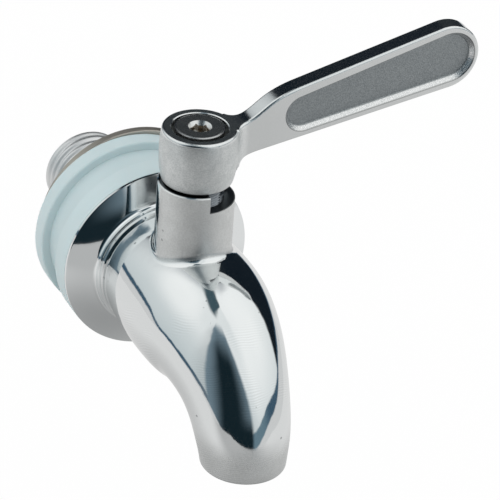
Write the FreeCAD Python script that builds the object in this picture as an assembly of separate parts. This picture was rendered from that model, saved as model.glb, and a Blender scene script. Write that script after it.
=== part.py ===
import FreeCAD, Part
import math
import os

# Dispenser spigot with a quarter-turn ball valve.
# The origin is on the tail's axis, in the plane where the vessel wall is gripped.
# +Y points into the vessel, -Y to the spout, +Z up, and the lever lies along +X when closed.

V = FreeCAD.Vector
X_AXIS = V(1, 0, 0)
Y_AXIS = V(0, 1, 0)
Z_AXIS = V(0, 0, 1)

# Clearances
RUN_FIT = 0.05
SLIDE_FIT = 0.1
RING_GAP = 0.05
CUT_OVER = 1.0

# Valve centre, where the stem's axis crosses the tail's axis
STEM_Y = -23.0

# Ball, seats and chamber, as distances from the valve centre
BALL_R = 8.0
BALL_BORE_R = 4.5
SEAT_IN = 5.0
SEAT_OUT = 8.2
BALL_ROOM = 0.8
SLOT_W = 3.4
SLOT_FLOOR = 5.6

# Body
JOINT = 12.4
RIM_WALL = 2.8
RIM_LEN = 1.2
RIM_STEP = 0.45
BELLY_R = 12.85
BELLY_AT = -2.0
BEND_START = 7.8
BEND_R = 18.4
OUTLET_R = 7.75
OUTLET_BORE_R = 6.0
OUTLET_BORE_LEN = 4.0
LIP_ROUND = 0.5
RIM_BREAK = 0.25
WATERWAY_R = 4.6
TAIL_THREAD_R = 9.8

# Share of the body's taper that is left at each angle of the bend
BEND_TAPER = {0: 0.94, 15: 0.775, 30: 0.59, 45: 0.4, 60: 0.255, 75: 0.137, 90: 0.0}

# Neck
NECK_R = 7.05
NECK_TOP = 25.35
NECK_BEVEL = 0.25
NECK_ROOT_ROUND = 1.8
NECK_BORE_R = 5.0
NECK_SHELF = 16.5
NOTCH_FLOOR = 22.15

# Stop, as angles about the stem's axis from +X
TURN = 90.0
LUG_HALF = 9.6
LUG_CENTRE = 7.0
LUG_PLAY = 0.4

# Stem
STEM_R = 4.0
STEM_COLLAR_R = 5.2
STEM_COLLAR_LIFT = 0.25
STEM_COLLAR_T = 1.0
THRUST_T = 0.65
STEM_POCKET_GAP = 0.2
STEM_SQUARE = 6.6
STEM_TOP = 31.4
TANG_LONG = 6.4
GROOVE_R = 3.2
GROOVE_W = 1.2
RING_SECTION_R = 0.43
RING_SEAT_GAP = 0.01
RING_RISE = 1.45
RING_PITCH = 2.4

# Packing in the neck
PACKING_H = 2.0
GLAND_RING_H = 1.0
GLAND_NUT_TOP = 24.6
GLAND_SLOT_W = 1.4
GLAND_SLOT_DEPTH = 1.2
GLAND_SLOT_TURN = 45.0

# Handle
HUB_LOW = 25.6
HUB_TOP = 36.05
HUB_R = 7.05
HUB_LOW_R = 6.45
HUB_SHOULDER_R = 6.85
HUB_LOW_BEVEL = 0.3
HUB_TOP_ROUND = 0.6
HUB_SWELL = 0.2
HUB_SWELL_LOW = 2.4
HUB_SWELL_HIGH = 2.7
COUNTERBORE_R = 5.15
COUNTERBORE_Z = 31.85
COUNTERBORE_BEVEL = 0.15
ARM_T = 3.6
ARM_EDGE = 0.45
FLARE_R = 3.0
CAP_X = 47.8
CAP_Z = 42.75
CAP_R = 6.3
TOP_SLOPE = 14.4
TOP_LEN = 28.9
LOW_SLOPE = 9.7
LOW_LEN = 38.2
NECK_HANDLE_UP = 7.8
NECK_HANDLE_LOW = 5.5
NECK_END = 5.6
HEEL_DROP = 1.7
RECESS_ROOT_X = 19.55
RECESS_ROOT_Z = 36.3
RECESS_ROOT_R = 3.65
RECESS_SHIFT = 0.45
RECESS_BORDER = 1.3
RECESS_DEPTH = 1.1
RECESS_DRAFT = 0.85
LUG_IN_R = 5.2
LUG_OUT_R = 6.15
LUG_PLAY_Z = 0.45

# Handle screw, M5 with a flat round head and a hexagon socket
SCREW_R = 2.5
SCREW_LEN = 10.0
SCREW_HOLE_SPARE = 1.5
SCREW_TIP_BEVEL = 0.4
HEAD_BEVEL = 0.3
HEAD_BEVEL_H = 0.13
HEAD_R = 4.5
HEAD_H = 3.55
HEX_AF = 3.2
HEX_DEPTH = 2.0
HEX_DRILL = 0.15
COUNTERSINK_R = 2.13
COUNTERSINK_DEPTH = 0.85
WASHER_T = 0.8
WASHER_R = 4.9

# Tail, with distances from the vessel wall's plane
FLANGE_R = 18.05
FLANGE_EDGE = 0.6
FLANGE_RISE = 1.5
COLLAR_OVER = 0.2
COLLAR_ROOT_ROUND = 0.9
SHANK_R = 8.0
SHANK_END = 27.1
SHANK_CHAMFER = 0.2
RELIEF_DEPTH = 0.9
RELIEF_LEN = 2.5
TAIL_BORE_R = 4.8
THREAD_LEAD = 0.5
SPIGOT_NECK_DEPTH = 0.5
SEAL_SECTION_R = 0.72
EDGE_BREAK = 0.15

# Washers on the tail
GASKET_OVER = 0.05
GASKET_T = 7.3
FRONT_RIM = 4.7
REAR_RIM = 3.5
GASKET_STEP = 1.6
GASKET_ROUND = 0.35
BACKING_T = 1.6
BACKING_IN = 0.3
BACKING_PLAY = 1.5
BACKING_SHIFT = (1.1, 0.0, 0.7)
NUT_AF = 24.0
NUT_H = 4.4

# Angles of a hexagon's corners
hex_turns = [math.radians(60 * k) for k in range(6)]


def polygon(points):
    return Part.makePolygon(points + [points[0]])


def turned_y(profile, centre=0.0):
    """Solid turned about the tail's axis from (y, r) points."""
    wire = polygon([V(0, centre + y, r) for y, r in profile])
    return Part.Face(wire).revolve(V(0, 0, 0), Y_AXIS, 360)


def turned_z(profile):
    """Solid turned about the stem's axis from (z, r) points."""
    wire = polygon([V(r, STEM_Y, z) for z, r in profile])
    return Part.Face(wire).revolve(V(0, STEM_Y, 0), Z_AXIS, 360)


def ring_z(inner, outer, low, top):
    return turned_z([(low, inner), (low, outer), (top, outer), (top, inner)])


def rod_y(radius, start, length):
    return Part.makeCylinder(radius, length, V(0, start, 0), Y_AXIS)


def rod_z(radius, low, length):
    return Part.makeCylinder(radius, length, V(0, STEM_Y, low), Z_AXIS)


def spine(angle):
    """Point and direction of the spout's centre line, from 0 at the bend's start to 90 at the outlet."""
    turn = math.radians(angle)
    y = STEM_Y - BEND_START - BEND_R * math.sin(turn)
    z = -BEND_R * (1 - math.cos(turn))
    return V(0, y, z), V(0, -math.cos(turn), -math.sin(turn))


def section(centre, direction, radius):
    circle = Part.Circle(centre, direction, radius)
    circle.XAxis = X_AXIS
    return Part.Wire([circle.toShape()])


def edges_at(shape, test):
    return [edge for edge in shape.Edges if test(edge)]


def on_circle(edge, centre, radius):
    curve = edge.Curve
    if not isinstance(curve, Part.Circle):
        return False
    return curve.Center.distanceToPoint(centre) < 0.01 and abs(curve.Radius - radius) < 0.01


# Body: outside skin along the centre line

chamber_r = BALL_R + BALL_ROOM
rim_r = TAIL_THREAD_R + RIM_WALL
back = JOINT - RIM_LEN
back_drop = BELLY_R - rim_r + RIM_STEP
sections = []
for share in (1.0, 0.72, 0.38, 0.0):
    y = BELLY_AT + share * (back - BELLY_AT)
    sections.append(section(V(0, STEM_Y + y, 0), -Y_AXIS, BELLY_R - back_drop * share ** 2))
for angle, share in BEND_TAPER.items():
    centre, direction = spine(angle)
    sections.append(section(centre, direction, OUTLET_R + (BELLY_R - OUTLET_R) * share))
skin = Part.makeLoft(sections, True, False)
outlet, down = spine(90)
skin = skin.makeFillet(LIP_ROUND, edges_at(skin, lambda e: abs(e.BoundBox.ZMax - outlet.z) < 0.01))

neck = rod_z(NECK_R, 0, NECK_TOP)
body = skin.fuse(neck)
root = edges_at(body, lambda e: e.BoundBox.ZMin > NECK_R and e.BoundBox.ZMax < BELLY_R + CUT_OVER)
body = body.makeFillet(NECK_ROOT_ROUND, root)
top = edges_at(body, lambda e: on_circle(e, V(0, STEM_Y, NECK_TOP), NECK_R))
body = body.makeChamfer(NECK_BEVEL, top)
rim = rod_y(rim_r, STEM_Y + back, RIM_LEN)
body = body.fuse(rim.makeChamfer(RIM_BREAK, edges_at(rim, lambda e: isinstance(e.Curve, Part.Circle))))

# Body: waterway, chamber, thread for the tail, neck bore and stop notch

way_sections = [section(V(0, STEM_Y - SEAT_OUT + CUT_OVER, 0), -Y_AXIS, WATERWAY_R)]
for angle in (22.5, 45, 67.5):
    centre, direction = spine(angle)
    way_sections.append(section(centre, direction, WATERWAY_R + (OUTLET_BORE_R - WATERWAY_R) * angle / 90))
way_sections.append(section(outlet + V(0, 0, OUTLET_BORE_LEN), down, OUTLET_BORE_R))
body = body.cut(Part.makeLoft(way_sections, True, False))
outlet_bore_h = OUTLET_BORE_LEN + CUT_OVER
body = body.cut(Part.makeCylinder(OUTLET_BORE_R, outlet_bore_h, outlet - V(0, 0, CUT_OVER), Z_AXIS))
body = body.cut(rod_y(chamber_r, STEM_Y - SEAT_OUT, 2 * SEAT_OUT + CUT_OVER))
body = body.cut(rod_y(TAIL_THREAD_R + RUN_FIT, STEM_Y + SEAT_OUT, JOINT - SEAT_OUT + CUT_OVER))
spigot_neck_r = TAIL_THREAD_R - SPIGOT_NECK_DEPTH
seal_room = 2 * SEAL_SECTION_R + RING_GAP
body = body.cut(rod_y(spigot_neck_r + seal_room, STEM_Y + JOINT - seal_room, seal_room + CUT_OVER))
stem_collar_low = chamber_r + STEM_COLLAR_LIFT
stem_collar_top = stem_collar_low + STEM_COLLAR_T
stem_pocket_top = stem_collar_top + THRUST_T + RUN_FIT
body = body.cut(rod_z(STEM_COLLAR_R + STEM_POCKET_GAP, 0, stem_pocket_top))
body = body.cut(rod_z(STEM_R + SLIDE_FIT, stem_pocket_top - CUT_OVER, NECK_TOP))
body = body.cut(rod_z(NECK_BORE_R, NECK_SHELF, NECK_TOP))
notch_from = LUG_CENTRE - TURN - LUG_HALF - LUG_PLAY
notch_span = TURN + 2 * LUG_HALF + 2 * LUG_PLAY
notch_h = NECK_TOP - NOTCH_FLOOR + CUT_OVER
notch = Part.makeCylinder(NECK_R + CUT_OVER, notch_h, V(0, STEM_Y, NOTCH_FLOOR), Z_AXIS, notch_span)
notch = notch.cut(rod_z(NECK_BORE_R - CUT_OVER / 2, NOTCH_FLOOR, notch_h))
notch.rotate(V(0, STEM_Y, 0), Z_AXIS, notch_from)
spout_body = body.cut(notch)

# Tail: spigot that screws into the body, collar, wall flange and shank

flange_back = -GASKET_T
collar_r = rim_r + COLLAR_OVER
flange_front = flange_back - FLANGE_EDGE
collar_back = flange_front - FLANGE_RISE
joint = STEM_Y + JOINT
nose = STEM_Y + SEAT_OUT
thread_back = joint - seal_room - SPIGOT_NECK_DEPTH
relief_end = flange_back + RELIEF_LEN
tail_profile = [
    (nose, TAIL_BORE_R),
    (nose, TAIL_THREAD_R - THREAD_LEAD),
    (nose + THREAD_LEAD, TAIL_THREAD_R),
    (thread_back, TAIL_THREAD_R),
    (thread_back, spigot_neck_r),
    (joint, spigot_neck_r),
    (joint, collar_r - EDGE_BREAK),
    (joint + EDGE_BREAK, collar_r),
    (collar_back, collar_r),
    (flange_front, FLANGE_R - EDGE_BREAK),
    (flange_front + EDGE_BREAK, FLANGE_R),
    (flange_back, FLANGE_R),
    (flange_back, SHANK_R - RELIEF_DEPTH),
    (relief_end, SHANK_R - RELIEF_DEPTH),
    (relief_end + RELIEF_DEPTH, SHANK_R),
    (SHANK_END - SHANK_CHAMFER, SHANK_R),
    (SHANK_END, SHANK_R - SHANK_CHAMFER),
    (SHANK_END, TAIL_BORE_R + EDGE_BREAK),
    (SHANK_END - EDGE_BREAK, TAIL_BORE_R),
]
inlet_tail = turned_y(tail_profile)
crease = edges_at(inlet_tail, lambda e: on_circle(e, V(0, collar_back, 0), collar_r))
inlet_tail = inlet_tail.makeFillet(COLLAR_ROOT_ROUND, crease)

seal_r = spigot_neck_r + seal_room / 2
body_seal_ring = Part.makeTorus(seal_r, SEAL_SECTION_R, V(0, joint - seal_room / 2, 0), Y_AXIS)

# Silicone washers, steel washer and nut

gasket_r = FLANGE_R + GASKET_OVER
nose_r = gasket_r - GASKET_STEP
gasket_hole_r = SHANK_R + SLIDE_FIT


def stepped_washer(rim):
    """Silicone washer: a rim of the given thickness and a narrower nose that ends at the wall's plane."""
    step = GASKET_T - rim
    washer = turned_y([
        (0, gasket_hole_r),
        (0, nose_r),
        (step, nose_r),
        (step, gasket_r),
        (GASKET_T, gasket_r),
        (GASKET_T, gasket_hole_r),
    ])
    corners = [(step, gasket_r), (GASKET_T, gasket_r)]
    return washer.makeFillet(GASKET_ROUND, [
        edge for edge in washer.Edges if any(on_circle(edge, V(0, y, 0), radius) for y, radius in corners)
    ])


rear_washer = stepped_washer(REAR_RIM)
front_washer = stepped_washer(FRONT_RIM)
front_washer.rotate(V(0, 0, 0), Z_AXIS, 180)

nut_start = GASKET_T + BACKING_T
backing_r = gasket_r - BACKING_IN
backing_hole_r = SHANK_R + BACKING_PLAY
backing_washer = turned_y([
    (GASKET_T, backing_hole_r),
    (GASKET_T, backing_r - EDGE_BREAK),
    (GASKET_T + EDGE_BREAK, backing_r),
    (nut_start - EDGE_BREAK, backing_r),
    (nut_start, backing_r - EDGE_BREAK),
    (nut_start, backing_hole_r),
])
backing_washer.translate(V(*BACKING_SHIFT))

nut_corner = NUT_AF / 2 / math.cos(math.radians(30))
hexagon = polygon([V(nut_corner * math.cos(t), nut_start, nut_corner * math.sin(t)) for t in hex_turns])
lock_nut = Part.Face(hexagon).extrude(V(0, NUT_H, 0))
nut_face_r = NUT_AF / 2 - 2 * EDGE_BREAK
nut_slope = (nut_corner - nut_face_r) * math.tan(math.radians(30))
lock_nut = lock_nut.common(turned_y([
    (nut_start, 0),
    (nut_start, nut_face_r),
    (nut_start + nut_slope, nut_corner),
    (nut_start + NUT_H - nut_slope, nut_corner),
    (nut_start + NUT_H, nut_face_r),
    (nut_start + NUT_H, 0),
]))
lock_nut = lock_nut.cut(rod_y(SHANK_R + RUN_FIT, nut_start - CUT_OVER, NUT_H + 2 * CUT_OVER))

# Ball and its seats

valve_ball = Part.makeSphere(BALL_R, V(0, STEM_Y, 0))
valve_ball = valve_ball.cut(Part.makeCylinder(BALL_BORE_R, 4 * BALL_R, V(-2 * BALL_R, STEM_Y, 0), X_AXIS))
slot = Part.makeBox(SLOT_W, 4 * BALL_R, BALL_R, V(-SLOT_W / 2, STEM_Y - 2 * BALL_R, SLOT_FLOOR))
valve_ball = valve_ball.cut(slot)

seat = turned_y([
    (SEAT_IN, WATERWAY_R),
    (SEAT_IN, chamber_r - RUN_FIT),
    (SEAT_OUT, chamber_r - RUN_FIT),
    (SEAT_OUT, WATERWAY_R),
])
seat = seat.cut(Part.makeSphere(BALL_R + RUN_FIT, V(0, 0, 0)))
rear_seat = seat.copy()
rear_seat.translate(V(0, STEM_Y, 0))
front_seat = seat.copy()
front_seat.rotate(V(0, 0, 0), Z_AXIS, 180)
front_seat.translate(V(0, STEM_Y, 0))

# Stem, with its square, collar, tang and tapped hole

stem = rod_z(STEM_R, stem_collar_top, STEM_TOP - stem_collar_top)
square_half = STEM_SQUARE / 2
square = Part.makeBox(STEM_SQUARE, STEM_SQUARE, STEM_TOP, V(-square_half, STEM_Y - square_half, HUB_LOW))
flats = rod_z(STEM_R + CUT_OVER, HUB_LOW, STEM_TOP).cut(square)
stem = stem.cut(flats)
stem = stem.fuse(rod_z(STEM_COLLAR_R, stem_collar_low, STEM_COLLAR_T))
tang_t = SLOT_W - 2 * SLIDE_FIT
tang_low = SLOT_FLOOR + 2 * SLIDE_FIT
tang_corner = V(-tang_t / 2, STEM_Y - TANG_LONG / 2, tang_low)
tang = Part.makeBox(tang_t, TANG_LONG, stem_collar_low - tang_low, tang_corner)
stem = stem.fuse(tang)
screw_top = COUNTERBORE_Z + WASHER_T
hole_low = screw_top - SCREW_LEN - SCREW_HOLE_SPARE
stem = stem.cut(rod_z(SCREW_R + RUN_FIT, hole_low, STEM_TOP))
lower_ring_z = stem_pocket_top + RING_RISE
upper_ring_z = lower_ring_z + RING_PITCH
for ring_at in (lower_ring_z, upper_ring_z):
    stem = stem.cut(ring_z(GROOVE_R, STEM_R + CUT_OVER, ring_at - GROOVE_W / 2, ring_at + GROOVE_W / 2))

ring_r = GROOVE_R + RING_SECTION_R + RING_SEAT_GAP
lower_stem_ring = Part.makeTorus(ring_r, RING_SECTION_R, V(0, STEM_Y, lower_ring_z), Z_AXIS)
upper_stem_ring = Part.makeTorus(ring_r, RING_SECTION_R, V(0, STEM_Y, upper_ring_z), Z_AXIS)
thrust_ring = ring_z(STEM_R + RUN_FIT, STEM_COLLAR_R, stem_collar_top, stem_collar_top + THRUST_T)

# Packing, gland ring and gland nut in the neck

packing_top = NECK_SHELF + PACKING_H
gland_low = packing_top + GLAND_RING_H
neck_fit_r = NECK_BORE_R - RUN_FIT
packing_ring = ring_z(STEM_R + RUN_FIT, neck_fit_r, NECK_SHELF, packing_top)
gland_ring = ring_z(STEM_R + RUN_FIT, neck_fit_r, packing_top, gland_low)
gland_nut = turned_z([
    (gland_low, STEM_R + RUN_FIT),
    (gland_low, neck_fit_r),
    (GLAND_NUT_TOP - EDGE_BREAK, neck_fit_r),
    (GLAND_NUT_TOP, neck_fit_r - EDGE_BREAK),
    (GLAND_NUT_TOP, STEM_R + RUN_FIT),
])
gland_slot = Part.makeBox(GLAND_SLOT_W, 4 * NECK_BORE_R, GLAND_SLOT_DEPTH)
gland_slot.translate(V(-GLAND_SLOT_W / 2, STEM_Y - 2 * NECK_BORE_R, GLAND_NUT_TOP - GLAND_SLOT_DEPTH))
gland_slot.rotate(V(0, STEM_Y, 0), Z_AXIS, GLAND_SLOT_TURN)
gland_nut = gland_nut.cut(gland_slot)

# Handle hub: barrel turned about the stem's axis


def bezier(*poles):
    curve = Part.BezierCurve()
    curve.setPoles(list(poles))
    return curve.toShape()


low_out = V(HUB_LOW_R, STEM_Y, HUB_LOW + HUB_LOW_BEVEL)
high_out = V(HUB_SHOULDER_R, STEM_Y, HUB_TOP - HUB_TOP_ROUND)
low_swell = V(HUB_R + HUB_SWELL, STEM_Y, low_out.z + HUB_SWELL_LOW)
high_swell = V(HUB_R + HUB_SWELL, STEM_Y, high_out.z - HUB_SWELL_HIGH)
side = bezier(low_out, low_swell, high_swell, high_out)
crown_in = HUB_TOP_ROUND * (1 - math.cos(math.radians(45)))
crown_mid = V(HUB_SHOULDER_R - crown_in, STEM_Y, HUB_TOP - crown_in)
crown_end = V(HUB_SHOULDER_R - HUB_TOP_ROUND, STEM_Y, HUB_TOP)
crown = Part.Arc(high_out, crown_mid, crown_end).toShape()
hub_rest = Part.makePolygon([
    crown_end,
    V(0, STEM_Y, HUB_TOP),
    V(0, STEM_Y, HUB_LOW),
    V(HUB_LOW_R - HUB_LOW_BEVEL, STEM_Y, HUB_LOW),
    low_out,
])
hub = Part.Face(Part.Wire([side, crown] + hub_rest.Edges)).revolve(V(0, STEM_Y, 0), Z_AXIS, 360)

# Handle arm and paddle: outline in the XZ plane, cut to its plan shape with a flare at the hub


def tangent_points(first, second, side_sign):
    """Points where a straight edge touches two circles given as (x, z, r), on one side."""
    dx = second[0] - first[0]
    dz = second[1] - first[1]
    span = math.hypot(dx, dz)
    lean = math.asin((first[2] - second[2]) / span)
    normal = math.atan2(dz, dx) + side_sign * (math.pi / 2 - lean)
    cx = math.cos(normal)
    cz = math.sin(normal)
    return [(c[0] + c[2] * cx, c[1] + c[2] * cz) for c in (first, second)]


def stadium(first, second, y):
    """Closed wire round two circles of different size joined by tangents, in the plane at y."""
    up = tangent_points(first, second, 1)
    low = tangent_points(first, second, -1)
    along = math.atan2(second[1] - first[1], second[0] - first[0])
    tip = (second[0] + second[2] * math.cos(along), second[1] + second[2] * math.sin(along))
    heel = (first[0] - first[2] * math.cos(along), first[1] - first[2] * math.sin(along))
    at = [V(x, y, z) for x, z in (up[0], up[1], tip, low[1], low[0], heel)]
    return Part.Wire([
        Part.LineSegment(at[0], at[1]).toShape(),
        Part.Arc(at[1], at[2], at[3]).toShape(),
        Part.LineSegment(at[3], at[4]).toShape(),
        Part.Arc(at[4], at[5], at[0]).toShape(),
    ])


def on_cap(angle):
    turn = math.radians(angle)
    return V(CAP_X + CAP_R * math.cos(turn), 0, CAP_Z + CAP_R * math.sin(turn))


def back_along(slope, length):
    turn = math.radians(slope)
    return V(-length * math.cos(turn), 0, -length * math.sin(turn))


up_tip = on_cap(TOP_SLOPE + 90)
low_tip = on_cap(LOW_SLOPE - 90)
far_tip = on_cap((TOP_SLOPE + LOW_SLOPE) / 2)
up_root = up_tip + back_along(TOP_SLOPE, TOP_LEN)
low_root = low_tip + back_along(LOW_SLOPE, LOW_LEN)
neck_pull = up_root + back_along(TOP_SLOPE, NECK_HANDLE_UP)
neck_end = V(NECK_END, 0, HUB_TOP)
to_hub = (low_tip.x - HUB_R) / math.cos(math.radians(LOW_SLOPE))
heel_turn = low_tip + back_along(LOW_SLOPE, to_hub)
heel_end = heel_turn - V(0, 0, HEEL_DROP)
inner_x = HUB_R / 3
arm_wire = Part.Wire([
    Part.Arc(low_tip, far_tip, up_tip).toShape(),
    Part.LineSegment(up_tip, up_root).toShape(),
    bezier(up_root, neck_pull, neck_end + V(NECK_HANDLE_LOW, 0, 0), neck_end),
    Part.makePolygon([neck_end, V(inner_x, 0, HUB_TOP), V(inner_x, 0, heel_end.z), heel_end]),
    bezier(heel_end, heel_turn, low_root),
    Part.LineSegment(low_root, low_tip).toShape(),
])
arm_reach = FLARE_R + ARM_T
arm = Part.Face(arm_wire).extrude(V(0, 2 * arm_reach, 0))
arm.translate(V(0, STEM_Y - arm_reach, 0))

half = ARM_T / 2
flare_x = math.sqrt((HUB_R + FLARE_R) ** 2 - (half + FLARE_R) ** 2)
touch = HUB_R / (HUB_R + FLARE_R)
flare_turn = math.atan2(half + FLARE_R, flare_x)
middle_turn = (flare_turn - math.pi - math.pi / 2) / 2


def flare(side_sign):
    """Hollow corner between the hub and one face of the arm, seen from above."""
    centre_y = side_sign * (half + FLARE_R)
    on_arm = V(flare_x, STEM_Y + side_sign * half, 0)
    on_hub = V(flare_x * touch, STEM_Y + centre_y * touch, 0)
    middle_x = flare_x + FLARE_R * math.cos(middle_turn)
    middle_y = centre_y + side_sign * FLARE_R * math.sin(middle_turn)
    return on_arm, V(middle_x, STEM_Y + middle_y, 0), on_hub


left = flare(1)
right = flare(-1)
past_tip = CAP_X + CAP_R + CUT_OVER
plan = Part.Wire([
    Part.Arc(left[0], left[1], left[2]).toShape(),
    Part.makePolygon([left[2], V(inner_x, left[2].y, 0)]),
    Part.makePolygon([V(inner_x, left[2].y, 0), V(inner_x, right[2].y, 0)]),
    Part.makePolygon([V(inner_x, right[2].y, 0), right[2]]),
    Part.Arc(right[2], right[1], right[0]).toShape(),
    Part.makePolygon([right[0], V(past_tip, right[0].y, 0)]),
    Part.makePolygon([V(past_tip, right[0].y, 0), V(past_tip, left[0].y, 0)]),
    Part.makePolygon([V(past_tip, left[0].y, 0), left[0]]),
])
arm = arm.common(Part.Face(plan).extrude(V(0, 0, 2 * HUB_TOP)))


def arm_rim(edge):
    box = edge.BoundBox
    upright = box.XLength < 0.01
    across = box.YLength > ARM_T - 0.01
    return not upright and not across and box.XMax > NECK_END - 0.01


arm = arm.makeFillet(ARM_EDGE, edges_at(arm, arm_rim))

handle = hub.fuse(arm)
lug_foot = V(0, STEM_Y, NOTCH_FLOOR + LUG_PLAY_Z)
lug = Part.makeCylinder(LUG_OUT_R, HUB_LOW - NOTCH_FLOOR, lug_foot, Z_AXIS, 2 * LUG_HALF)
lug = lug.cut(rod_z(LUG_IN_R, 0, HUB_TOP))
lug.rotate(V(0, STEM_Y, 0), Z_AXIS, LUG_CENTRE - LUG_HALF)
handle = handle.fuse(lug).removeSplitter()
handle = handle.cut(rod_z(COUNTERBORE_R, COUNTERBORE_Z, HUB_TOP))
handle = handle.cut(turned_z([
    (HUB_TOP - COUNTERBORE_BEVEL, 0),
    (HUB_TOP - COUNTERBORE_BEVEL, COUNTERBORE_R),
    (HUB_TOP + COUNTERBORE_BEVEL, COUNTERBORE_R + 2 * COUNTERBORE_BEVEL),
    (HUB_TOP + COUNTERBORE_BEVEL, 0),
]))
hole_w = STEM_SQUARE + 2 * RUN_FIT
hole = Part.makeBox(hole_w, hole_w, HUB_TOP, V(-hole_w / 2, STEM_Y - hole_w / 2, NOTCH_FLOOR))
handle = handle.cut(hole.common(rod_z(STEM_R + RUN_FIT, NOTCH_FLOOR, HUB_TOP)))

face_y = STEM_Y - half
slope = RECESS_DRAFT / RECESS_DEPTH
over = RECESS_DEPTH / 5


def recess_wire(sink):
    """Outline of the recess at a depth below the paddle's face."""
    less = sink * slope
    root_circle = (RECESS_ROOT_X, RECESS_ROOT_Z, RECESS_ROOT_R - less)
    tip_circle = (CAP_X + RECESS_SHIFT, CAP_Z, CAP_R - RECESS_BORDER - less)
    return stadium(root_circle, tip_circle, face_y + sink)


recess = Part.makeLoft([recess_wire(-over), recess_wire(RECESS_DEPTH)], True, True)
handle_lever = handle.cut(recess)

# Screw and its washer

screw_washer = ring_z(SCREW_R + SLIDE_FIT, WASHER_R, COUNTERBORE_Z, screw_top)
head_top = screw_top + HEAD_H
handle_screw = turned_z([
    (screw_top - SCREW_LEN, 0),
    (screw_top - SCREW_LEN, SCREW_R - SCREW_TIP_BEVEL),
    (screw_top - SCREW_LEN + SCREW_TIP_BEVEL, SCREW_R),
    (screw_top, SCREW_R),
    (screw_top, HEAD_R),
    (head_top - HEAD_BEVEL_H, HEAD_R),
    (head_top, HEAD_R - HEAD_BEVEL),
    (head_top, 0),
])
hex_corner = HEX_AF / 2 / math.cos(math.radians(30))
socket = polygon([V(hex_corner * math.sin(t), STEM_Y + hex_corner * math.cos(t), head_top) for t in hex_turns])
handle_screw = handle_screw.cut(Part.Face(socket).extrude(V(0, 0, -HEX_DEPTH)))
handle_screw = handle_screw.cut(turned_z([
    (head_top - HEX_DEPTH - HEX_AF * HEX_DRILL, 0),
    (head_top - HEX_DEPTH, HEX_AF / 2 - EDGE_BREAK),
    (head_top - HEX_DEPTH + EDGE_BREAK, 0),
]))
handle_screw = handle_screw.cut(turned_z([
    (head_top - COUNTERSINK_DEPTH, 0),
    (head_top - COUNTERSINK_DEPTH, HEX_AF / 2),
    (head_top, COUNTERSINK_R),
    (head_top, 0),
]))

parts = {
    "spout_body": spout_body,
    "inlet_tail": inlet_tail,
    "body_seal_ring": body_seal_ring,
    "front_washer": front_washer,
    "rear_washer": rear_washer,
    "backing_washer": backing_washer,
    "lock_nut": lock_nut,
    "valve_ball": valve_ball,
    "front_seat": front_seat,
    "rear_seat": rear_seat,
    "stem": stem,
    "thrust_ring": thrust_ring,
    "lower_stem_ring": lower_stem_ring,
    "upper_stem_ring": upper_stem_ring,
    "packing_ring": packing_ring,
    "gland_ring": gland_ring,
    "gland_nut": gland_nut,
    "handle_lever": handle_lever,
    "screw_washer": screw_washer,
    "handle_screw": handle_screw,
}

os.makedirs("parts", exist_ok=True)
for name, shape in parts.items():
    shape.exportStep("parts/" + name + ".step")
    print(name, len(shape.Solids), shape.isValid(), round(shape.Volume, 1), round(shape.BoundBox.DiagonalLength, 1))
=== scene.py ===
import math

import bpy
import numpy as np
from mathutils import Matrix, Vector


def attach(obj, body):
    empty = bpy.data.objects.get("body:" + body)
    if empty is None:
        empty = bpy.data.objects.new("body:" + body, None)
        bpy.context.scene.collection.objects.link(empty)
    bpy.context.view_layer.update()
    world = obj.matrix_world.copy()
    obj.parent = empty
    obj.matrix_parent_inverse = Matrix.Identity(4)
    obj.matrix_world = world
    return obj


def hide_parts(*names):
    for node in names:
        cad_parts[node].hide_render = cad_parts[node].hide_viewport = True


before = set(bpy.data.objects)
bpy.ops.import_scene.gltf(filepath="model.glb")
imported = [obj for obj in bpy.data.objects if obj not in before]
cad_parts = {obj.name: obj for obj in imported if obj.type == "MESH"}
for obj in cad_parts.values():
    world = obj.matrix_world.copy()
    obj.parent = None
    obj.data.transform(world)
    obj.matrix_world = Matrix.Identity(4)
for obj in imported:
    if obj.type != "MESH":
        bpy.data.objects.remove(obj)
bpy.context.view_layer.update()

# Spout body
# One stainless casting: a tapering bent spout with a round neck for the stem, bored for the valve.
# It is mirror polished by hand, which leaves faint ripples, and satin at the spout's end and the neck.
# A pair of millimetres says where a finish starts and where it is full. The inside of the neck's notch is
# darkened as painted shade.

MM = 0.001
STEM_Y = -23.0
SATIN_END_Z = (-9.8, -14.8)
SATIN_END_Y = (-38.0, -43.0)
NECK_REACH = (7.5, 7.3)
NECK_FOOT = (7.2, 8.6)
NECK_RIM = (25.3, 25.1)
NECK_BACK_WAY = (-0.89, 0.45)
NECK_BACK = (-3.75, -4.35)
NOTCH_WALL = (6.95, 6.75)
NOTCH_FLOOR = (21.9, 22.1)
RUBBING_Z = (8.5, 5.0)
RUBBING_WAVES = (5.0, 14.0)
STEEL = (0.85, 0.875, 0.88, 1.0)
STAINED_STEEL = (0.61, 0.625, 0.62, 1.0)
# Painted shade for the walls and floor of the notch inside the neck; the same dark colour also marks the
# small pits.
PAINTED_SHADE_AND_PIT_STEEL = (0.09, 0.10, 0.11, 1.0)


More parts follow.
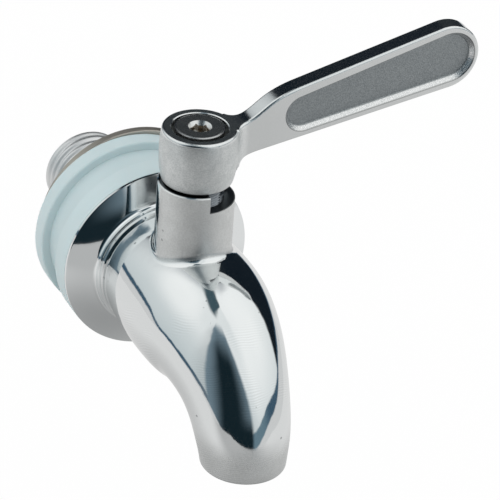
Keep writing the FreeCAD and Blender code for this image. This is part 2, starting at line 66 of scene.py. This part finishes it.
class Wire:
    """A socket of a node tree. Arithmetic on it adds Math nodes, and add() adds any other node."""

    def __init__(self, tree, socket=None):
        self.tree = tree
        self.socket = socket

    def add(self, kind, settings, inputs, output=0):
        node = self.tree.nodes.new(kind)
        for name, value in settings.items():
            setattr(node, name, value)
        for name, value in inputs.items():
            if isinstance(value, Wire):
                self.tree.links.new(value.socket, node.inputs[name])
            else:
                node.inputs[name].default_value = value
        return Wire(self.tree, node.outputs[output])

    def math(self, operation, *values):
        return self.add("ShaderNodeMath", {"operation": operation}, dict(enumerate(values)))

    def __add__(self, other):
        return self.math("ADD", self, other)

    def __sub__(self, other):
        return self.math("SUBTRACT", self, other)

    def __rsub__(self, other):
        return self.math("SUBTRACT", other, self)

    def __mul__(self, other):
        return self.math("MULTIPLY", self, other)

    def __truediv__(self, other):
        return self.math("DIVIDE", self, other)

    __radd__ = __add__
    __rmul__ = __mul__

    def power(self, exponent):
        return self.math("POWER", self, exponent)

    def sine(self):
        return self.math("SINE", self)

    def rise(self, low, high):
        """0 below low, 1 above high and smooth between. With low above high it falls."""
        limits = {0: self, 1: low, 2: high, 3: 0.0, 4: 1.0}
        return self.add("ShaderNodeMapRange", {"interpolation_type": "SMOOTHSTEP"}, limits)

    def blend(self, first, second):
        """Mixes two colours, from the first at 0 to the second at 1."""
        return self.add("ShaderNodeMix", {"data_type": "RGBA"}, {0: self, 6: first, 7: second}, 2)

    def noise(self, scale, detail=2.0, stretch=(1.0, 1.0, 1.0)):
        """Noise from 0 to 1 on this vector, with scale in waves a metre along each stretched axis."""
        place = self.add("ShaderNodeMapping", {}, {"Vector": self, "Scale": stretch})
        return self.add("ShaderNodeTexNoise", {}, {"Vector": place, "Scale": scale, "Detail": detail})


def start_material(name, **constants):
    """A material with its constants set on the shader's own sockets, and a wire on its object coordinates."""
    material = bpy.data.materials.new(name)
    material.use_nodes = True
    tree = material.node_tree
    shader = tree.nodes["Principled BSDF"]
    for socket, value in constants.items():
        shader.inputs[socket.replace("_", " ")].default_value = value
    here = Wire(tree).add("ShaderNodeTexCoord", {}, {}, 3)
    return material, shader, here


def feed(shader, socket, wire):
    wire.tree.links.new(wire.socket, shader.inputs[socket])


def axes(here, letters):
    """The named coordinates, such as XZ, in millimetres."""
    metres = [here.add("ShaderNodeSeparateXYZ", {}, {0: here}, "XYZ".index(letter)) for letter in letters]
    return [value / MM for value in metres]


def from_stem(x, y):
    """Distance in millimetres from the stem's upright axis."""
    return (x * x + (y - STEM_Y) * (y - STEM_Y)).power(0.5)


def relief(height, millimetres):
    """A bump whose full height is given in millimetres."""
    return height.add("ShaderNodeBump", {}, {"Height": height, "Distance": millimetres * MM})


def wear(node, material):
    """Gives a frame node this material in all its slots."""
    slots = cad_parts[node].data.materials
    slots.clear()
    slots.append(material)


def polished_body():
    """Mirror polish that turns satin at the spout's end and up the neck, but for the neck's back left, with
    painted shade inside the neck's notch and darker pits.
    """
    material, shader, here = start_material("polished_body", Metallic=1.0)
    x, y, z = axes(here, "XYZ")
    radius = from_stem(x, y)
    satin_end = z.rise(*SATIN_END_Z) * y.rise(*SATIN_END_Y)
    back = x * NECK_BACK_WAY[0] + y * NECK_BACK_WAY[1]
    neck = radius.rise(*NECK_REACH) * z.rise(*NECK_FOOT) * z.rise(*NECK_RIM) * back.rise(*NECK_BACK)
    satin = satin_end * 0.85 + neck
    # Painted shade: the notch's walls and floor inside the neck are made dark.
    painted_notch_shade = radius.rise(*NOTCH_WALL) * z.rise(*NOTCH_FLOOR)
    speck = here.noise(3400.0, 2.0).rise(0.3, 0.7)
    pit = here.noise(1100.0, 0.0).rise(0.83, 0.88)
    smudge = here.noise(240.0, 4.0)
    turned = here.noise(60.0, 3.0, (1.0, 1.0, 90.0))
    wave = y * RUBBING_WAVES[0] + z * RUBBING_WAVES[1] + here.noise(90.0, 2.0) * 60.0
    rubbed = wave.sine() * here.noise(110.0, 1.0).rise(0.45, 0.6) * z.rise(*RUBBING_Z)
    ripple = here.noise(95.0, 1.0) + 0.12 * here.noise(330.0, 2.0)
    stain = satin * (0.3 + 0.6 * smudge + 0.22 * speck) + 0.16 + rubbed * 0.16
    steel = stain.blend(STEEL, STAINED_STEEL)
    mirror = 0.035 + 0.03 * smudge + 0.02 * speck
    height = ripple * 1.15 + satin * (turned * 0.05 + speck * 0.04) + speck * 0.004
    feed(shader, "Base Color", (painted_notch_shade + pit * 0.5).blend(steel, PAINTED_SHADE_AND_PIT_STEEL))
    feed(shader, "Roughness", mirror + satin * (0.18 + 0.12 * speck + 0.14 * smudge))
    feed(shader, "Normal", relief(height, 0.05))
    return material


wear("spout_body", polished_body())

# Ball valve inside the body
# A stainless ball with a cross bore, between two white PTFE seats that a screwed-in tail presses on it.
# The ball is ground and lapped and the seats are turned. A black rubber ring seals the tail's joint.


def lapped_ball():
    """Lapped steel with very fine crossing marks."""
    material, shader, here = start_material("lapped_ball", Metallic=1.0)
    marks = here.noise(2600.0, 3.0, (1.0, 1.0, 0.2))
    feed(shader, "Base Color", marks.blend((0.70, 0.70, 0.70, 1.0), (0.78, 0.78, 0.77, 1.0)))
    feed(shader, "Roughness", 0.10 + 0.1 * marks)
    return material


def white_seat():
    """Turned PTFE: milky white with faint tool rings."""
    material, shader, here = start_material("white_seat", Subsurface_Weight=0.2, IOR=1.36)
    shader.inputs["Subsurface Radius"].default_value = (0.001, 0.001, 0.001)
    rings = here.noise(90.0, 2.0, (1.0, 60.0, 1.0))
    feed(shader, "Base Color", rings.blend((0.86, 0.86, 0.84, 1.0), (0.93, 0.93, 0.91, 1.0)))
    feed(shader, "Roughness", 0.38 + 0.15 * rings)
    feed(shader, "Normal", relief(rings, 0.01))
    return material


def black_ring():
    """Moulded nitrile rubber with a slight bloom."""
    material, shader, here = start_material("black_ring")
    bloom = here.noise(400.0, 4.0)
    feed(shader, "Base Color", bloom.blend((0.018, 0.018, 0.019, 1.0), (0.045, 0.045, 0.045, 1.0)))
    feed(shader, "Roughness", 0.45 + 0.25 * bloom)
    return material


wear("valve_ball", lapped_ball())
seat_material = white_seat()
for seat in ("front_seat", "rear_seat"):
    wear(seat, seat_material)
ring_material = black_ring()
wear("body_seal_ring", ring_material)

# Stem and its gland
# A turned stem with a square end, a tang in the ball's slot and a collar that keeps it down, with two
# rubber rings. White packing is pressed by a steel ring under a slotted nut screwed into the neck.

GLAND_PITCH = 0.55
GLAND_DEPTH = 0.28
GLAND_BORE = 4.05
GLAND_SIDE = 4.95
GLAND_EDGE = 0.15
GLAND_LOW = 19.5
GLAND_TOP = 24.6
GLAND_SLOT_W = 1.4
GLAND_SLOT_DEEP = 1.2
GLAND_SLOT_TURN = -math.pi / 4
GLAND_SLOT_CORNER = 0.002
GLAND_STEP_SHIFT = 0.011
GLAND_THREAD_TOP = 0.97
GLAND_STEPS_ROUND = 200
GLAND_STEPS_UP = 110
THREAD_CREASE = math.radians(32)


def turned_steel():
    """Turned steel, with tool rings round the stem's axis."""
    material, shader, here = start_material("turned_steel", Metallic=1.0)
    rings = here.noise(70.0, 3.0, (1.0, 1.0, 70.0))
    cloud = here.noise(260.0, 3.0)
    feed(shader, "Base Color", cloud.blend((0.60, 0.60, 0.60, 1.0), (0.70, 0.70, 0.69, 1.0)))
    feed(shader, "Roughness", 0.16 + 0.22 * rings)
    feed(shader, "Normal", relief(rings, 0.02))
    return material


def shell(name, points):
    """A mesh from a grid of points, rows along the profile and columns round it, with both ways wrapped.
    Each quad joins a point to its neighbours in the next row and the next column."""
    rows, columns = points.shape[:2]
    row, column = np.meshgrid(np.arange(rows), np.arange(columns), indexing="ij")
    next_row = (row + 1) % rows
    next_column = (column + 1) % columns
    corners = [(row, column), (next_row, column), (next_row, next_column), (row, next_column)]
    quads = np.stack([r * columns + c for r, c in corners], axis=-1)
    mesh = bpy.data.meshes.new(name)
    mesh.from_pydata(points.reshape(-1, 3).tolist(), [], quads.reshape(-1, 4).tolist())
    mesh.shade_smooth()
    mesh.set_sharp_from_angle(angle=THREAD_CREASE)
    piece = bpy.data.objects.new(name, mesh)
    bpy.context.scene.collection.objects.link(piece)
    return piece


def threaded_gland():
    """The section turned about the stem: x = r cos a, y = stem + r sin a, z = low + t (top - low), where top
    drops by the slot's depth near two angles. The side dips by depth (0.5 - 0.5 cos(2 pi z / pitch - a))."""
    half = math.asin(GLAND_SLOT_W / (GLAND_BORE + GLAND_SIDE))
    slot_sides = np.array([-half, half, math.pi - half, math.pi + half]) + GLAND_SLOT_TURN
    corners = slot_sides[:, None] + np.array([-GLAND_SLOT_CORNER, GLAND_SLOT_CORNER])
    evenly = np.linspace(-np.pi, np.pi, GLAND_STEPS_ROUND, endpoint=False) + GLAND_STEP_SHIFT
    turn = np.sort(np.concatenate([evenly, corners.ravel()]))
    in_slot = np.abs(np.sin(turn - GLAND_SLOT_TURN)) < math.sin(half)
    top = np.where(in_slot, GLAND_TOP - GLAND_SLOT_DEEP, GLAND_TOP)
    down = np.linspace(GLAND_THREAD_TOP, 0.0, GLAND_STEPS_UP)
    side = np.stack([down, np.full_like(down, GLAND_SIDE)], axis=1)
    rim = [(1.0, GLAND_BORE), (1.0, GLAND_SIDE - GLAND_EDGE)]
    section = np.concatenate([rim, side, [(0.0, GLAND_BORE)]])
    share, outline = section[:, :1], section[:, 1:]
    z = GLAND_LOW + share * (top - GLAND_LOW)
    valley = (0.5 - 0.5 * np.cos(2 * np.pi * z / GLAND_PITCH - turn)) * (outline == GLAND_SIDE)
    radius = outline - GLAND_DEPTH * valley
    grid = np.stack([radius * np.cos(turn), radius * np.sin(turn) + STEM_Y, z], axis=-1)
    return shell("threaded_gland", grid * MM)


def gland_steel_painted_shade():
    """Darker nut, made dark as painted shade for the dim inside of the neck, in noisy patches."""
    material, shader, here = start_material("gland_steel_painted_shade", Metallic=1.0)
    # Painted shade: the nut's steel is given a dark colour, patchy by noise.
    stain = here.noise(700.0, 4.0)
    feed(shader, "Base Color", stain.blend((0.20, 0.22, 0.24, 1.0), (0.40, 0.43, 0.46, 1.0)))
    feed(shader, "Roughness", 0.22 + 0.16 * stain)
    feed(shader, "Normal", relief(stain, 0.01))
    return material


turned_material = turned_steel()
for piece in ("stem", "gland_ring"):
    wear(piece, turned_material)
for ring in ("thrust_ring", "packing_ring"):
    wear(ring, seat_material)
for ring in ("lower_stem_ring", "upper_stem_ring"):
    wear(ring, ring_material)
gland = threaded_gland()
gland.data.materials.append(gland_steel_painted_shade())
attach(gland, "tap")
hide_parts("gland_nut")

# Handle
# A cast stainless lever: a round hub, a flat arm and a long paddle with a sunk panel. Its faces are satin
# with a fine grain and the panel is bead-blasted. A low-head screw with a washer holds it on the stem.
# The panel's ends are circles, given by x, z and radius.

PADDLE_FACE_Y = -24.8
PANEL_DEPTH = 1.1
PANEL_FLOOR_Y = PADDLE_FACE_Y + PANEL_DEPTH
PANEL_ROOT = (19.55, 36.3, 3.65)
PANEL_TIP = (48.25, 42.75, 5.0)
HUB_END_X = (9.0, 6.5)
HUB_TOP_Z = (35.5, 35.2)
ARM_START_X = (7.5, 9.0)
EDGE_FRONT_Y = (-24.75, -24.5)
EDGE_BACK_Y = (-21.2, -21.5)
SOCKET_RADIUS = (1.6, 1.7)
SINK_INSIDE = (1.62, 1.7)
SINK_OUTSIDE = (2.2, 2.1)


def panel_outline(x, z):
    """Distance in millimetres outside the sunk panel's outline: two circles and their common tangents."""
    run = (PANEL_TIP[0] - PANEL_ROOT[0], PANEL_TIP[1] - PANEL_ROOT[1])
    span = math.hypot(*run)
    cos, sin = run[0] / span, run[1] / span
    dx, dz = x - PANEL_ROOT[0], z - PANEL_ROOT[1]
    along = dx * cos + dz * sin
    across = dz * cos - dx * sin
    share = along.add("ShaderNodeClamp", {}, {0: along / span, 1: 0.0, 2: 1.0})
    off = along - share * span
    radius = PANEL_ROOT[2] + (PANEL_TIP[2] - PANEL_ROOT[2]) * share
    return (off * off + across * across).power(0.5) - radius


def satin_lever():
    """Satin faces, a matt hub, polished edges, a grainy blasted panel that is darker on its floor, and
    painted shade round the panel's rim.
    """
    material, shader, here = start_material("satin_lever", Metallic=1.0)
    x, y, z = axes(here, "XYZ")
    outside = panel_outline(x, z)
    panel = outside.rise(0.08, -0.04) * y.rise(PADDLE_FACE_Y + 0.02, PADDLE_FACE_Y + 0.12)
    panel = panel * y.rise(PANEL_FLOOR_Y + 0.5, PANEL_FLOOR_Y + 0.2)
    sunk = panel * y.rise(PANEL_FLOOR_Y - 0.35, PANEL_FLOOR_Y - 0.1)
    # Painted shade: a dark line round the panel's rim where it meets the face.
    painted_rim_shade = outside.rise(-0.2, -0.05) * outside.rise(0.1, 0.02)
    painted_rim_shade = painted_rim_shade * y.rise(PADDLE_FACE_Y + 0.5, PADDLE_FACE_Y + 0.3)
    hub = x.rise(*HUB_END_X) * z.rise(*HUB_TOP_Z)
    edge = x.rise(*ARM_START_X) * y.rise(*EDGE_FRONT_Y) * y.rise(*EDGE_BACK_Y) * (1.0 - panel)
    grain = here.noise(4200.0, 2.0).rise(0.3, 0.7)
    blast = here.noise(5200.0, 2.0).rise(0.25, 0.75)
    cloud = here.noise(120.0, 2.0)
    mottle = here.noise(700.0, 4.0)
    steel = cloud.blend((0.76, 0.78, 0.78, 1.0), (0.82, 0.84, 0.84, 1.0))
    steel = (hub * (0.7 * mottle + 0.35 * grain) + grain * 0.12).blend(steel, (0.52, 0.55, 0.55, 1.0))
    steel = panel.blend(steel, blast.blend((0.62, 0.64, 0.64, 1.0), (0.98, 0.98, 0.98, 1.0)))
    steel = sunk.blend(steel, blast.blend((0.25, 0.27, 0.28, 1.0), (0.42, 0.45, 0.46, 1.0)))
    rough = 0.16 + 0.06 * grain + hub * (0.08 + 0.2 * mottle) + 0.02 * panel + 0.26 * sunk - 0.08 * edge
    height = grain * 0.1 + panel * blast * 0.7 + hub * (mottle * 0.7 + grain * 0.25)
    feed(shader, "Base Color", (painted_rim_shade * 0.6).blend(steel, (0.12, 0.12, 0.12, 1.0)))
    feed(shader, "Roughness", rough)
    feed(shader, "Normal", relief(height, 0.02))
    return material


def screw_steel():
    """Dark polished head with a bright countersink and a browner socket."""
    material, shader, here = start_material("screw_steel", Metallic=1.0)
    marks = here.noise(500.0, 3.0)
    radius = from_stem(*axes(here, "XY"))
    head = radius.rise(*SOCKET_RADIUS).blend((0.35, 0.30, 0.24, 1.0), (0.50, 0.51, 0.51, 1.0))
    sink = radius.rise(*SINK_INSIDE) * radius.rise(*SINK_OUTSIDE)
    feed(shader, "Base Color", sink.blend(head, (0.82, 0.82, 0.81, 1.0)))
    feed(shader, "Roughness", 0.22 + 0.1 * marks)
    feed(shader, "Normal", relief(marks, 0.008))
    return material


wear("handle_lever", satin_lever())
wear("handle_screw", screw_steel())
wear("screw_washer", turned_material)

# Tail
# A turned stainless tube that screws into the body, with a collar, a conical wall flange and a long thread.
# The flange is polished; the 14-to-the-inch thread is rolled and stays silvery.
# Sections are lists of y and radius in millimetres.

TAIL_PITCH = 25.4 / 14
TAIL_DEPTH = 0.42
TAIL_VALLEY_POWER = 1.3
TAIL_FADE = (1.2, 1.6)
TAIL_STEPS_ROUND = 180
TAIL_STEPS_ALONG = 340
TAIL_CREST = 8.0
TAIL_BORE = 4.8
THREAD_FROM = -3.9
TAIL_END = 27.1
TAIL_BEVEL = 0.2
TAIL_LIP = 0.15
ROOT_ROUND = 0.9
ROOT_CENTRE = (-10.073, 13.7)
FLANGE_SLOPE = -16.4
SHANK_FINISH_Y = (-7.0, -6.0)
SPIGOT_SECTION = [
    (-14.8, 4.8), (-14.8, 9.3), (-14.3, 9.8), (-12.59, 9.8), (-12.59, 9.3), (-10.6, 9.3),
    (-10.6, 12.65), (-10.45, 12.8),
]
FLANGE_SECTION = [(-7.9, 17.9), (-7.75, 18.05), (-7.3, 18.05), (-7.3, 7.1), (-4.8, 7.1)]


def threaded_tail():
    """The section turned about Y: x = r cos a, z = r sin a. On the shank the radius dips from the crest by
    the thread's depth times a rounded valley of the phase y / pitch + a / turn, and fades at both ends."""
    turn = np.linspace(0.0, 2 * np.pi, TAIL_STEPS_ROUND, endpoint=False)
    lean = np.radians(np.linspace(-90.0, FLANGE_SLOPE, 9))
    root = np.stack([np.cos(lean), np.sin(lean)], axis=1) * ROOT_ROUND + ROOT_CENTRE
    bevel_y = TAIL_END - TAIL_BEVEL
    lip_y = TAIL_END - TAIL_LIP
    shank_y = np.linspace(THREAD_FROM, bevel_y, TAIL_STEPS_ALONG)
    shank = np.stack([shank_y, np.full_like(shank_y, TAIL_CREST)], axis=1)
    end = [(TAIL_END, TAIL_CREST - TAIL_BEVEL), (TAIL_END, TAIL_BORE + TAIL_LIP), (lip_y, TAIL_BORE)]
    bore_y = np.linspace(lip_y, SPIGOT_SECTION[0][0], 6)[1:-1]
    bore = np.stack([bore_y, np.full_like(bore_y, TAIL_BORE)], axis=1)
    section = np.concatenate([SPIGOT_SECTION, root, FLANGE_SECTION, shank, end, bore])
    y, outline = section[:, :1], section[:, 1:]
    fade = np.clip((y - THREAD_FROM) / TAIL_FADE[0], 0.0, 1.0)
    fade = fade * np.clip((bevel_y - y) / TAIL_FADE[1], 0.0, 1.0)
    phase = y / TAIL_PITCH + turn / (2 * np.pi)
    valley = (0.5 - 0.5 * np.cos(2 * np.pi * phase)) ** TAIL_VALLEY_POWER
    radius = outline - TAIL_DEPTH * fade * (outline == TAIL_CREST) * valley
    along = np.broadcast_to(y, radius.shape)
    grid = np.stack([radius * np.cos(turn), along, radius * np.sin(turn)], axis=-1)
    return shell("threaded_tail", grid * MM)


def tail_steel():
    """Polished flange with faint turning rings; the thread is a little rougher."""
    material, shader, here = start_material("tail_steel", Metallic=1.0)
    thread = axes(here, "Y")[0].rise(*SHANK_FINISH_Y)
    rings = here.noise(60.0, 3.0, (1.0, 50.0, 1.0))
    scuff = here.noise(900.0, 3.0)
    feed(shader, "Base Color", thread.blend(STEEL, (0.78, 0.79, 0.79, 1.0)))
    feed(shader, "Roughness", 0.05 + 0.02 * rings + thread * (0.32 + 0.14 * scuff))
    feed(shader, "Normal", relief(rings + thread * scuff, 0.004))
    return material


tail = threaded_tail()
tail.data.materials.append(tail_steel())
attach(tail, "tap")
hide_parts("inlet_tail")

# Silicone washers
# Two stepped washers, moulded in translucent pale blue silicone, grip the vessel's wall between them.
# They are soft and slightly frosted, with a fine moulding skin.


def silicone():
    """Translucent silicone: clouded pale blue-grey with a frosted skin."""
    material, shader, here = start_material("silicone", Subsurface_Weight=0.6, IOR=1.41)
    shader.inputs["Subsurface Radius"].default_value = (0.0018, 0.0024, 0.0026)
    cloud = here.noise(90.0, 3.0)
    skin = here.noise(2200.0, 2.0)
    feed(shader, "Base Color", cloud.blend((0.54, 0.66, 0.68, 1.0), (0.61, 0.72, 0.74, 1.0)))
    feed(shader, "Roughness", 0.34 + 0.14 * skin)
    feed(shader, "Normal", relief(skin, 0.006))
    return material


silicone_material = silicone()
for washer in ("front_washer", "rear_washer"):
    wear(washer, silicone_material)

# Steel washer and nut
# A thin pressed washer spreads the nut's load on the soft washer, and the hexagon nut is screwed on from
# inside the vessel. The washer's edge is sheared and dull; the nut is turned from bar.


def pressed_washer():
    """Dull sheared steel with brownish edge and rolling marks."""
    material, shader, here = start_material("pressed_washer", Metallic=1.0)
    marks = here.noise(300.0, 4.0, (1.0, 6.0, 1.0))
    feed(shader, "Base Color", marks.blend((0.42, 0.39, 0.34, 1.0), (0.62, 0.59, 0.54, 1.0)))
    feed(shader, "Roughness", 0.42 + 0.18 * marks)
    feed(shader, "Normal", relief(marks, 0.01))
    return material


wear("backing_washer", pressed_washer())
wear("lock_nut", turned_material)

# Stand: floor, light and camera
# A pale floor, a plain white room that lights the object evenly, and a long lens. Reflections see a studio
# instead: large soft boxes with dark gaps between them, a dark room behind and a grey table.
# In reflections the floor shows a painted glow with a painted shadow under the spout. A mask is 0 at the
# first value of its pair and 1 at the second.

WHITE = (1.0, 1.0, 1.0, 1.0)
FLOOR_Z = -0.105
FLOOR_HALF = 0.5
FLOOR_SHADOW_SHARE = 0.12
TABLE_LIT_SHARE = 0.15
PAINTED_SHADOW_AT = (-10.0, -60.0)
PAINTED_SHADOW_REACH = 220.0
TABLE_FRONT_Y = (-60.0, -220.0)
TABLE_FRONT_X = (330.0, 0.0)
# Colours of the floor's painted glow: a painted shadow grey round a spot under the spout, painted light
# further out, darker towards the front.
PAINTED_SHADOW_GREY = (0.23, 0.23, 0.23, 1.0)
TABLE_PAINTED_LIGHT = (0.76, 0.755, 0.75, 1.0)
TABLE_FRONT = (0.42, 0.42, 0.42, 1.0)
BOX_SHADE = (0.48, 0.55, 0.57, 1.0)
BOX_LIGHT = (1.06, 1.06, 1.05, 1.0)
LAMP_AT = (-128.0, 46.0)
LAMP_SPREAD = (34.0, 8.0)
GAP_RIM = (0.17, 0.235, 0.28, 1.0)
GAP_CORE = (0.007, 0.017, 0.023, 1.0)
GAP_FRINGE = (0.30, 0.33, 0.34, 1.0)
ROOM_DARK = (0.007, 0.012, 0.018, 1.0)
ROOM_PALE = (0.020, 0.026, 0.03, 1.0)
ROOM_HAZE = (0.20, 0.23, 0.26, 1.0)
OVERHEAD = (0.055, 0.095, 0.115, 1.0)
EDGE_FAR = (0.05, 0.10, 0.15, 1.0)
EDGE_NEAR = (0.14, 0.22, 0.27, 1.0)
BELOW = (0.68, 0.68, 0.68, 1.0)
CAMERA_AZIMUTH = math.radians(-26.8)
CAMERA_HEIGHT = math.radians(31.27)
CAMERA_ROLL = math.radians(4.19)
CAMERA_DISTANCE = 0.650
CAMERA_AIM = (0.01037, 0.00978)
LENS_MM = 257.5


def stage_floor():
    """Flat square floor. The camera sees it white with the object's shadow; other rays see a lit floor with a
    painted grey glow, which has a painted shadow round a spot under the spout and darkens in front of it."""
    mesh = bpy.data.meshes.new("floor")
    corners = [(-1, -1), (1, -1), (1, 1), (-1, 1)]
    mesh.from_pydata([(a * FLOOR_HALF, b * FLOOR_HALF, FLOOR_Z) for a, b in corners], [], [(0, 1, 2, 3)])
    floor = bpy.data.objects.new("floor", mesh)
    bpy.context.scene.collection.objects.link(floor)
    material = bpy.data.materials.new("floor")
    material.use_nodes = True
    tree = material.node_tree
    tree.nodes.clear()
    start = Wire(tree)
    x, y = axes(start.add("ShaderNodeTexCoord", {}, {}, 3), "XY")
    camera_ray = start.add("ShaderNodeLightPath", {}, {}, 0)
    aside = x - PAINTED_SHADOW_AT[0]
    ahead = y - PAINTED_SHADOW_AT[1]
    # Painted shadow of the object on the floor, seen only in reflections.
    painted_shadow = (aside * aside + ahead * ahead).power(0.5).rise(0.0, PAINTED_SHADOW_REACH)
    front = y.rise(*TABLE_FRONT_Y) * x.rise(*TABLE_FRONT_X)
    painted_floor_light = front.blend(painted_shadow.blend(PAINTED_SHADOW_GREY, TABLE_PAINTED_LIGHT), TABLE_FRONT)
    painted_glow = start.add("ShaderNodeEmission", {}, {"Color": painted_floor_light})
    diffuse = start.add("ShaderNodeBsdfDiffuse", {}, {"Color": (0.93, 0.93, 0.93, 1.0)})
    reflected = start.add("ShaderNodeMixShader", {}, {0: TABLE_LIT_SHARE, 1: painted_glow, 2: diffuse})
    white = start.add("ShaderNodeEmission", {}, {"Color": WHITE})
    lit = start.add("ShaderNodeBsdfDiffuse", {}, {"Color": (0.97, 0.97, 0.97, 1.0)})
    seen = start.add("ShaderNodeMixShader", {}, {0: FLOOR_SHADOW_SHARE, 1: white, 2: lit})
    both = start.add("ShaderNodeMixShader", {}, {0: camera_ray, 1: reflected, 2: seen})
    out = tree.nodes.new("ShaderNodeOutputMaterial")
    tree.links.new(both.socket, out.inputs[0])
    mesh.materials.append(material)


def soft_boxes(direction, azimuth, height):
    """Pale cloth with faint clouds, brighter upwards, round a lamp on the left, and towards the right."""
    beside = (azimuth - LAMP_AT[0]) * 0.7
    above = height - LAMP_AT[1]
    lamp = (beside * beside + above * above).power(0.5).rise(*LAMP_SPREAD) + azimuth.rise(0.0, 25.0) * 0.8
    cloud = 0.3 * direction.noise(1.2, 1.0) + 0.5 * height.rise(-12.0, 50.0) + 0.28 * lamp
    return cloud.blend(BOX_SHADE, BOX_LIGHT)


def front_gap(azimuth, height):
    """The dark gap between the boxes: from a left edge that leans with height to a right edge that bends in
    with its square, grey at its rims and nearly black in its core, with a grey fringe on its left."""
    left = height * 0.33 - 82.0
    right = 3.0 - height * height * 0.007
    past_left = azimuth - left
    share = past_left / (right - left)
    gap = past_left.rise(-2.0, 2.5) * (right - azimuth).rise(-4.0, 5.0) * height.rise(73.0, 61.0)
    right_rim = 1.0 - share.rise(0.6, 1.1) * height.rise(-2.0, 14.0)
    core = share.rise(0.0, 0.32) * right_rim * height.rise(75.0, 25.0).rise(0.0, 0.8)
    fringe = past_left.rise(-16.0, 0.0) * past_left.rise(6.0, 2.0) * height.rise(73.0, 50.0)
    return gap, core.blend(GAP_RIM, GAP_CORE), fringe * 0.35


def back_room(from_back, height):
    """The dark room behind, whose right side bends in with height, and a haze round its left side."""
    right = 94.0 - height * 0.5 - height * height * 0.006
    room = (right - from_back).rise(-3.0, 3.0) * from_back.rise(-17.0, -11.0) * height.rise(63.0, 55.0)
    haze = from_back.rise(-35.0, -10.0) * from_back.rise(58.0, 40.0) * height.rise(80.0, 60.0)
    pale = from_back.rise(14.0, 22.0) * from_back.rise(48.0, 36.0)
    return room, pale.blend(ROOM_DARK, ROOM_PALE), haze * 0.6


def overhead_cap(azimuth, from_back, height):
    """A dark patch straight above, which comes lower at the back and is kept only on the left and behind."""
    lowered = height + from_back.rise(-60.0, 0.0) * from_back.rise(60.0, 20.0) * 8.0
    return lowered.rise(72.5, 77.5) * (1.0 - azimuth.rise(-80.0, -50.0) * azimuth.rise(172.0, 155.0))


def table_edge(azimuth, height):
    """The table's far edge: a band whose foot and thickness step up and down with the azimuth, and all that
    lies below its foot."""
    foot = azimuth.rise(-128.0, -118.0) * -9.0 + azimuth.rise(-118.0, -82.0) * 3.0 - 2.8
    foot = foot - azimuth.rise(-82.0, -50.0) * 4.0 + azimuth.rise(-3.0, 50.0) * 12.8
    foot = foot - azimuth.rise(85.0, 135.0) * 9.0
    thick = azimuth.rise(-82.0, -60.0) * azimuth.rise(90.0, 35.0) * 7.0 + azimuth.rise(90.0, 60.0) * 2.0 + 2.2
    edge = height.rise(foot + thick + 0.9, foot + thick - 0.7)
    below = height.rise(foot + 0.8, foot - 0.8)
    near = azimuth.rise(-12.0, 2.0) * azimuth.rise(50.0, 25.0)
    return edge, near.blend(EDGE_FAR, EDGE_NEAR), below


def studio_world():
    """Plain white to the camera and to diffuse light. Reflections see the studio, as smooth functions of
    azimuth (0 at -Y, 90 at +X), of the azimuth counted from +Y, and of elevation."""
    world = bpy.data.worlds.new("studio")
    world.use_nodes = True
    tree = world.node_tree
    tree.nodes.clear()
    start = Wire(tree)
    direction = start.add("ShaderNodeTexCoord", {}, {}, 0)
    x, y, z = [start.add("ShaderNodeSeparateXYZ", {}, {0: direction}, axis) for axis in range(3)]
    degree = math.degrees(1.0)
    azimuth = start.math("ARCTAN2", x, y * -1.0) * degree
    from_back = start.math("ARCTAN2", x, y) * degree
    height = start.math("ARCSINE", z) * degree
    gap, gap_colour, fringe = front_gap(azimuth, height)
    room, room_colour, haze = back_room(from_back, height)
    edge, edge_colour, below = table_edge(azimuth, height)
    colour = haze.blend(soft_boxes(direction, azimuth, height), ROOM_HAZE)
    colour = room.blend(colour, room_colour)
    colour = overhead_cap(azimuth, from_back, height).blend(colour, OVERHEAD)
    colour = edge.blend(colour, edge_colour)
    colour = fringe.blend(colour, GAP_FRINGE)
    colour = gap.blend(colour, gap_colour)
    colour = below.blend(colour, BELOW)
    glossy_ray = start.add("ShaderNodeLightPath", {}, {}, 3)
    shown = glossy_ray.blend(WHITE, colour)
    background = start.add("ShaderNodeBackground", {}, {"Color": shown, "Strength": 1.0})
    out = tree.nodes.new("ShaderNodeOutputWorld")
    tree.links.new(background.socket, out.inputs[0])
    bpy.context.scene.world = world


def long_lens():
    """Camera given by where it stands round the stem, its distance, roll and the point it looks at."""
    ahead = math.cos(CAMERA_HEIGHT)
    right = Vector((math.cos(CAMERA_AZIMUTH), math.sin(CAMERA_AZIMUTH), 0.0))
    back = Vector((right.y * ahead, -right.x * ahead, math.sin(CAMERA_HEIGHT)))
    up = back.cross(right)
    aim = right * CAMERA_AIM[0] + up * CAMERA_AIM[1] + Vector((0.0, STEM_Y * MM, 0.0))
    across = right * math.cos(CAMERA_ROLL) + up * math.sin(CAMERA_ROLL)
    upward = up * math.cos(CAMERA_ROLL) - right * math.sin(CAMERA_ROLL)
    camera = bpy.data.cameras.new("camera")
    camera.lens = LENS_MM
    camera.sensor_width = 36.0
    camera.clip_end = 20.0
    holder = bpy.data.objects.new("camera", camera)
    turned = Matrix((across, upward, back)).transposed().to_4x4()
    holder.matrix_world = Matrix.Translation(aim + back * CAMERA_DISTANCE) @ turned
    bpy.context.scene.collection.objects.link(holder)
    bpy.context.scene.camera = holder


stage_floor()
studio_world()
long_lens()
bpy.context.scene.view_settings.view_transform = "Standard"
